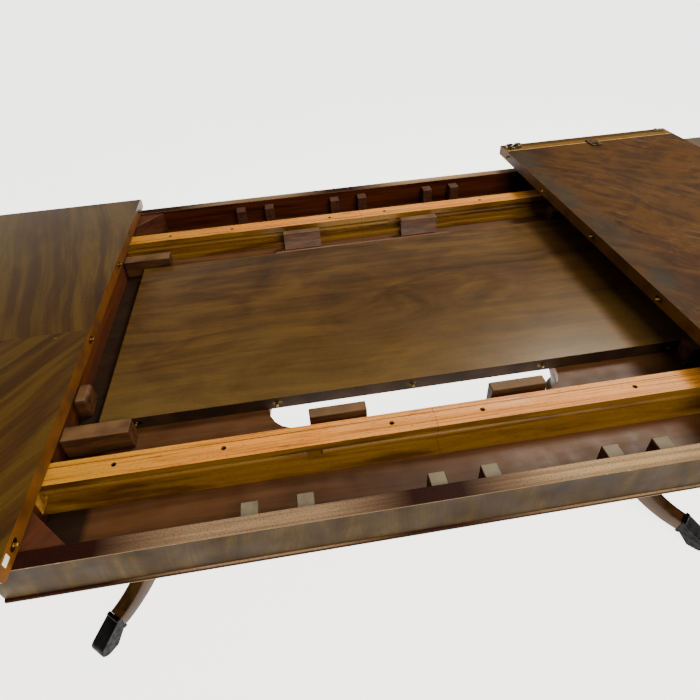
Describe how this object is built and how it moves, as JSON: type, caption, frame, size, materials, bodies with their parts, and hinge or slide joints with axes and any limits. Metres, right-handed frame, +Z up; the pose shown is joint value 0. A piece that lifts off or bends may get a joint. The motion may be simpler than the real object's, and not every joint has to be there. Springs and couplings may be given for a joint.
{
  "type": "extending dining table",
  "caption": "Twin-pedestal extending dining table, half-tops drawn apart over a case that stores a leaf, with a second leaf lying face down on one top.",
  "frame": {"origin": "on the floor, under the middle of the case", "axes": "+X along the table, the way the tops slide apart; +Y towards the side where the spare leaf's lock is; +Z up"},
  "size_m": [2.96, 1.146, 0.7929],
  "materials": {
    "polished_mahogany": "french-polished mahogany, warm brown with darker figure",
    "plain_mahogany": "unpolished mahogany secondary wood, dull and darkened",
    "oak": "planed and waxed oak, pale golden",
    "black_metal": "blackened cast metal, satin"
  },
  "bodies": {
    "case": {"apron_near": "polished_mahogany", "apron_far": "polished_mahogany", "end_rail_left": "plain_mahogany", "end_rail_right": "plain_mahogany", "bottom_panel": "plain_mahogany", "slide_rail_near": "oak", "slide_rail_far": "oak", "corner_block_left_near": "plain_mahogany", "leaf_locator_left_near": "plain_mahogany", "corner_block_left_far": "plain_mahogany", "leaf_locator_left_far": "plain_mahogany", "end_stop_left": "plain_mahogany", "corner_block_right_near": "plain_mahogany", "leaf_locator_right_near": "plain_mahogany", "corner_block_right_far": "plain_mahogany", "leaf_locator_right_far": "plain_mahogany", "end_stop_right": "plain_mahogany", "spacer_block_near_1": "plain_mahogany", "spacer_block_near_2": "plain_mahogany", "spacer_block_near_3": "plain_mahogany", "spacer_block_near_4": "plain_mahogany", "spacer_block_near_5": "plain_mahogany", "spacer_block_near_6": "plain_mahogany", "leaf_guide_near_1": "plain_mahogany", "leaf_guide_near_2": "plain_mahogany", "spacer_block_far_1": "plain_mahogany", "spacer_block_far_2": "plain_mahogany", "spacer_block_far_3": "plain_mahogany", "spacer_block_far_4": "plain_mahogany", "spacer_block_far_5": "plain_mahogany", "spacer_block_far_6": "plain_mahogany", "leaf_guide_far_1": "plain_mahogany", "leaf_guide_far_2": "plain_mahogany", "pedestal_block_left": "polished_mahogany", "column_left": "polished_mahogany", "leg_left_near": "polished_mahogany", "leg_cap_left_near": "black_metal", "leg_left_far": "polished_mahogany", "leg_cap_left_far": "black_metal", "leg_left_inner": "polished_mahogany", "leg_cap_left_inner": "black_metal", "pedestal_block_right": "polished_mahogany", "column_right": "polished_mahogany", "leg_right_near": "polished_mahogany", "leg_cap_right_near": "black_metal", "leg_right_far": "polished_mahogany", "leg_cap_right_far": "black_metal", "leg_right_inner": "polished_mahogany", "leg_cap_right_inner": "black_metal"},
    "top_left": {"half_top_left": "polished_mahogany", "runner_left_near": "oak", "runner_left_far": "oak"},
    "top_right": {"half_top_right": "polished_mahogany", "runner_right_near": "oak", "runner_right_far": "oak"},
    "spare_leaf": {"spare_leaf": "polished_mahogany", "leaf_latch": "black_metal"},
    "leaf_lock": {"leaf_lock": "black_metal"},
    "stored_leaf": {"stored_leaf": "polished_mahogany"}
  },
  "joints": [
    {"name": "left_top_slide", "type": "slide", "parent": "case", "child": "top_left", "axis": [1, 0, 0], "range_m": [0, 0.5995]},
    {"name": "right_top_slide", "type": "slide", "parent": "case", "child": "top_right", "axis": [-1, 0, 0], "range_m": [0, 0.5995]},
    {"name": "spare_leaf_lift", "type": "slide", "parent": "top_right", "child": "spare_leaf", "axis": [0, 0, 1], "range_m": [0, 0.3]},
    {"name": "leaf_lock_swivel", "type": "hinge", "parent": "spare_leaf", "child": "leaf_lock", "pos_m": [0.51, 0.559, 0.7889], "axis": [0, 0, 1], "range_deg": [0, 90]},
    {"name": "stored_leaf_lift", "type": "slide", "parent": "case", "child": "stored_leaf", "axis": [0, 0, 1], "range_m": [0, 0.03]}
  ]
}
